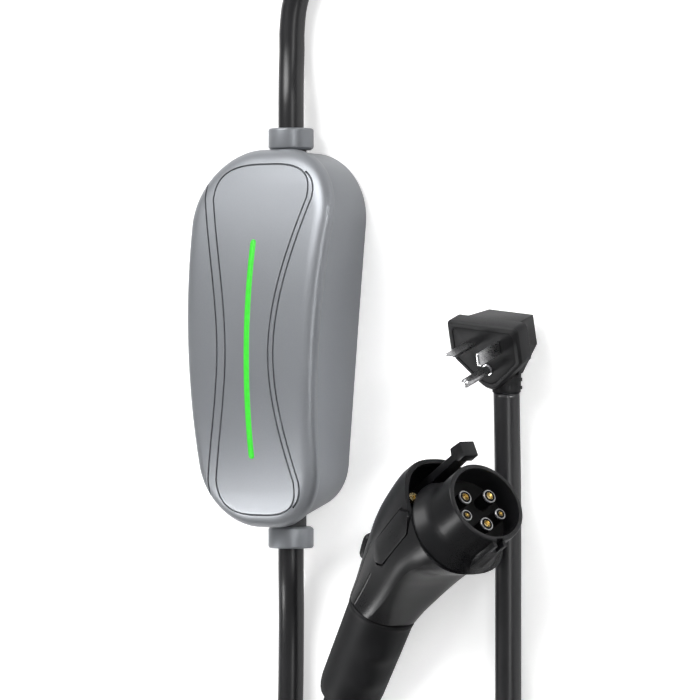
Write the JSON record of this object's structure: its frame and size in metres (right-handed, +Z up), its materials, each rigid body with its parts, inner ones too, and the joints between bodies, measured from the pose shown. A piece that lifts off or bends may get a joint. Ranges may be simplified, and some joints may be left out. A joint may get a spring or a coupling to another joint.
{
  "type": "portable ev charger",
  "caption": "Portable electric-car charger: tapered control box with a lit bar, a mains lead with an angled plug, and a coiled vehicle lead with a latching connector.",
  "frame": {"origin": "middle of the control box's back, on the floor", "axes": "+Z up out of the box's face, +Y along the box towards its wide end and the mains gland, +X to the right"},
  "size_m": [0.3182, 0.5663, 0.0697],
  "materials": {
    "silver_paint": "satin silver-grey paint",
    "dark_nylon": "moulded nylon",
    "light_lens": "lit green lens",
    "circuit_board": "solder mask",
    "relay_case": "moulded case",
    "inner_parts": "moulded and wound parts",
    "steel": "plated steel",
    "handle_plastic": "fine-grained satin black",
    "carrier_plastic": "matt black",
    "contact_brass": "plated contact",
    "grip_rubber": "matt rubber",
    "plug_plastic": "moulded PVC",
    "cable_sheath": "satin cable sheath",
    "tie_webbing": "woven tie"
  },
  "bodies": {
    "charger": {"front_cover": "silver_paint", "rear_housing": "silver_paint", "housing_seal": "grip_rubber", "light_bar": "light_lens", "light_board": "circuit_board", "main_board": "circuit_board", "power_relay_a": "relay_case", "power_relay_b": "relay_case", "current_sensor": "inner_parts", "supply_transformer": "inner_parts", "capacitor_a": "inner_parts", "capacitor_b": "inner_parts", "terminal_block_in": "inner_parts", "terminal_block_out": "inner_parts", "cover_screw_a": "steel", "cover_screw_b": "steel", "cover_screw_c": "steel", "cover_screw_d": "steel", "gland_body_in": "dark_nylon", "gland_collar_in": "silver_paint", "gland_body_out": "dark_nylon", "gland_collar_out": "silver_paint", "handle_shell_left": "handle_plastic", "handle_shell_right": "handle_plastic", "grip_sleeve": "grip_rubber", "barrel": "handle_plastic", "contact_carrier": "carrier_plastic", "line_contact": "contact_brass", "neutral_contact": "contact_brass", "earth_contact": "contact_brass", "pilot_contact": "contact_brass", "proximity_contact": "contact_brass", "latch_pin": "steel", "latch_frame": "handle_plastic", "latch_spring": "steel", "side_plaque": "handle_plastic", "front_screw_left": "contact_brass", "front_screw_right": "contact_brass", "cable_boot": "grip_rubber", "plug_body": "plug_plastic", "plug_face": "plug_plastic", "flat_blade": "steel", "upright_blade": "steel", "earth_pin": "steel", "plug_strain_relief": "plug_plastic", "mains_cord": "cable_sheath", "vehicle_cord_out": "cable_sheath", "vehicle_coil": "cable_sheath", "vehicle_cord_in": "cable_sheath", "coil_tie": "tie_webbing"},
    "latch": {"latch_lever": "handle_plastic"}
  },
  "joints": [
    {"name": "latch_pivot", "type": "hinge", "parent": "charger", "child": "latch", "pos_m": [0.09902, -0.08374, 0.0322], "axis": [-0.2587, -0.0086, 0.9659], "range_deg": [0, 6], "stiffness_Nm_per_rad": 0.6}
  ]
}
